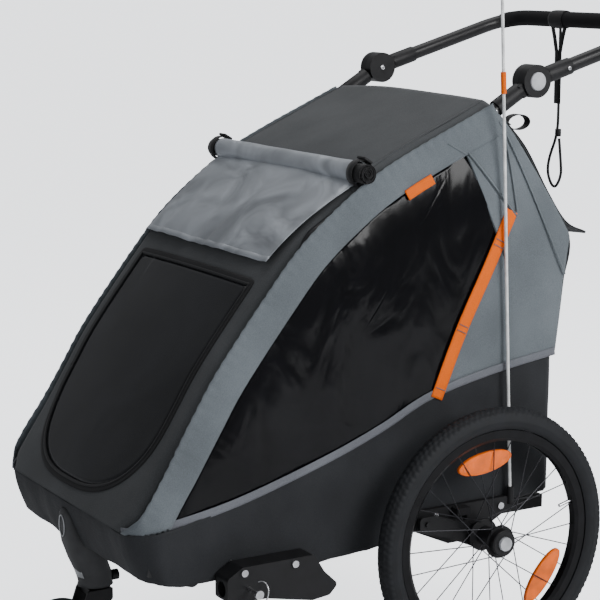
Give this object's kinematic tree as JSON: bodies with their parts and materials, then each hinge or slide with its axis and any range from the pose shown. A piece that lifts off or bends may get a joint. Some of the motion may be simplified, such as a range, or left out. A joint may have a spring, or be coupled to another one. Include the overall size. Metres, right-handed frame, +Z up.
{
  "type": "child bicycle trailer",
  "caption": "Two-seat child bicycle trailer with a fabric cabin, sprung spoked wheels, a caster, a tilting push bar and a folding cover frame.",
  "frame": {"origin": "middle of the bounding box, on the ground", "axes": "-Y forward, +Y towards the push bar, +X the vehicle's left, +Z up"},
  "size_m": [0.83, 1.294, 1.5601],
  "materials": {
    "frame_tube": "satin powder coat",
    "bracket_steel": "satin black",
    "bright_steel": "zinc plated",
    "tub_fabric": "coated polyester",
    "light_fabric": "woven polyester",
    "grey_fabric": "woven polyester",
    "silver_fabric": "aluminised, wrinkled",
    "window_film": "tinted clear film",
    "mesh_fabric": "mesh",
    "seat_fabric": "padded",
    "webbing": "webbing",
    "black_plastic": "moulded",
    "grey_plastic": "moulded",
    "grip_rubber": "foam",
    "tyre_rubber": "block tread",
    "rim_alloy": "black anodised",
    "spoke_steel": "black",
    "reflector": "clear orange",
    "pole_white": "glass fibre",
    "pennant": "nylon"
  },
  "bodies": {
    "chassis": {"side_rails": "frame_tube", "cross_tubes": "frame_tube", "floor_panel": "tub_fabric", "tub_side_left": "tub_fabric", "tub_side_right": "tub_fabric", "tub_front": "tub_fabric", "tub_rear": "tub_fabric", "suspension_brackets": "bracket_steel", "chassis_bolts": "bright_steel", "bump_stops": "grip_rubber", "tow_socket": "black_plastic", "steerer_housing": "black_plastic", "seat_cushion": "seat_fabric", "seat_buckles": "black_plastic", "flag_pole": "pole_white", "flag_pennant": "pennant"},
    "cover_frame": {"side_tubes": "frame_tube", "roof_cross_tubes": "frame_tube", "roof_panel": "grey_fabric", "front_cover": "grey_fabric", "cover_roll": "silver_fabric", "sun_flap": "silver_fabric", "side_panel_left": "light_fabric", "side_panel_right": "light_fabric", "side_window_left": "window_film", "side_window_right": "window_film", "rear_panel": "mesh_fabric", "handle_hubs": "black_plastic"},
    "window": {"front_window": "window_film"},
    "rear_flap": {"rear_flap": "grey_fabric"},
    "handlebar": {"handlebar": "frame_tube", "handle_grip": "grip_rubber", "wrist_strap": "webbing"},
    "upright_lower": {"upright_lower": "frame_tube"},
    "upright_middle": {"upright_middle": "bright_steel"},
    "upright_upper": {"upright_upper": "bright_steel"},
    "seat_back": {"seat_back": "seat_fabric", "shoulder_straps": "webbing"},
    "caster_fork": {"caster_fork": "black_plastic"},
    "caster_wheel": {"caster_wheel": "grey_plastic", "caster_tyre": "tyre_rubber"},
    "lock_knob": {"lock_knob": "black_plastic"},
    "tow_pin": {"tow_pin": "bright_steel"},
    "brake_pedal": {"brake_pedal": "black_plastic"},
    "handle_button_left": {"handle_button_left": "grey_plastic"},
    "swing_arm_left": {"swing_arm_left": "bracket_steel"},
    "wheel_left": {"tyre_left": "tyre_rubber", "rim_left": "rim_alloy", "spokes_left": "spoke_steel", "hub_left": "black_plastic", "spoke_reflectors_left": "reflector"},
    "hub_button_left": {"hub_button_left": "grey_plastic"},
    "handle_button_right": {"handle_button_right": "grey_plastic"},
    "swing_arm_right": {"swing_arm_right": "bracket_steel"},
    "wheel_right": {"tyre_right": "tyre_rubber", "rim_right": "rim_alloy", "spokes_right": "spoke_steel", "hub_right": "black_plastic", "spoke_reflectors_right": "reflector"},
    "hub_button_right": {"hub_button_right": "grey_plastic"}
  },
  "joints": [
    {"name": "cover_fold", "type": "hinge", "parent": "chassis", "child": "cover_frame", "pos_m": [0, -0.513, 0.345], "axis": [1, 0, 0], "range_deg": [-25, 0], "deforming": ["side_panel_left", "side_panel_right", "side_window_left", "side_window_right", "rear_panel", "tub_rear"]},
    {"name": "upright_swing", "type": "hinge", "parent": "chassis", "child": "upright_lower", "pos_m": [0, 0.292, 0.31], "axis": [1, 0, 0], "range_deg": [-27.45, 0]},
    {"name": "upright_middle_slide", "type": "slide", "parent": "upright_lower", "child": "upright_middle", "axis": [0, -0.1276, 0.9918], "range_m": [-0.17403, 0]},
    {"name": "upright_upper_slide", "type": "slide", "parent": "upright_middle", "child": "upright_upper", "axis": [0, -0.1276, 0.9918], "range_m": [-0.17403, 0]},
    {"name": "seat_back_fold", "type": "hinge", "parent": "chassis", "child": "seat_back", "pos_m": [0, 0.192, 0.41], "axis": [1, 0, 0], "range_deg": [0, 90]},
    {"name": "handlebar_tilt", "type": "hinge", "parent": "cover_frame", "child": "handlebar", "pos_m": [0, 0.291, 1.088], "axis": [1, 0, 0], "range_deg": [-30, 120]},
    {"name": "window_lift", "type": "hinge", "parent": "cover_frame", "child": "window", "pos_m": [0, -0.26569, 0.73932], "axis": [-1, 0, 0], "range_deg": [0, 110]},
    {"name": "rear_flap_lift", "type": "hinge", "parent": "cover_frame", "child": "rear_flap", "pos_m": [0, 0.21945, 1.04057], "axis": [1, 0, 0], "range_deg": [0, 80]},
    {"name": "caster_swivel", "type": "hinge", "parent": "chassis", "child": "caster_fork", "pos_m": [0, -0.498, 0.2], "axis": [0, 0, 1], "continuous": true},
    {"name": "caster_roll", "type": "hinge", "parent": "caster_fork", "child": "caster_wheel", "pos_m": [0, -0.574, 0.073], "axis": [1, 0, 0], "continuous": true},
    {"name": "lock_knob_pull", "type": "slide", "parent": "chassis", "child": "lock_knob", "axis": [0, 1, 0], "range_m": [0, 0.006], "stiffness_N_per_m": 600, "springref_m": -0.001},
    {"name": "tow_pin_slide", "type": "slide", "parent": "chassis", "child": "tow_pin", "axis": [-1, 0, 0], "range_m": [0, 0.034]},
    {"name": "brake_press", "type": "hinge", "parent": "chassis", "child": "brake_pedal", "pos_m": [0, 0.326, 0.269], "axis": [1, 0, 0], "range_deg": [-12, 0], "stiffness_Nm_per_rad": 6, "springref_deg": 5.73},
    {"name": "suspension_left", "type": "hinge", "parent": "chassis", "child": "swing_arm_left", "pos_m": [0, 0.022, 0.285], "axis": [1, 0, 0], "range_deg": [-2, 3.5], "stiffness_Nm_per_rad": 300, "springref_deg": -1.38},
    {"name": "wheel_spin_left", "type": "hinge", "parent": "swing_arm_left", "child": "wheel_left", "pos_m": [0.37, 0.142, 0.25], "axis": [1, 0, 0], "continuous": true},
    {"name": "hub_button_press_left", "type": "slide", "parent": "wheel_left", "child": "hub_button_left", "axis": [-1, 0, 0], "range_m": [0, 0.003], "stiffness_N_per_m": 800, "springref_m": -0.001},
    {"name": "handle_button_press_left", "type": "slide", "parent": "cover_frame", "child": "handle_button_left", "axis": [-1, 0, 0], "range_m": [0, 0.005], "stiffness_N_per_m": 800, "springref_m": -0.001},
    {"name": "suspension_right", "type": "hinge", "parent": "chassis", "child": "swing_arm_right", "pos_m": [0, 0.022, 0.285], "axis": [1, 0, 0], "range_deg": [-2, 3.5], "stiffness_Nm_per_rad": 300, "springref_deg": -1.38},
    {"name": "wheel_spin_right", "type": "hinge", "parent": "swing_arm_right", "child": "wheel_right", "pos_m": [-0.37, 0.142, 0.25], "axis": [1, 0, 0], "continuous": true},
    {"name": "hub_button_press_right", "type": "slide", "parent": "wheel_right", "child": "hub_button_right", "axis": [1, 0, 0], "range_m": [0, 0.003], "stiffness_N_per_m": 800, "springref_m": -0.001},
    {"name": "handle_button_press_right", "type": "slide", "parent": "cover_frame", "child": "handle_button_right", "axis": [1, 0, 0], "range_m": [0, 0.005], "stiffness_N_per_m": 800, "springref_m": -0.001}
  ],
  "couplings": [
    {"joint": "upright_swing", "follows": "cover_fold", "ratio": 1.0982},
    {"joint": "upright_middle_slide", "follows": "cover_fold", "m_per_rad": 0.39885},
    {"joint": "upright_upper_slide", "follows": "cover_fold", "m_per_rad": 0.39885},
    {"joint": "seat_back_fold", "follows": "cover_fold", "ratio": -3.6}
  ]
}
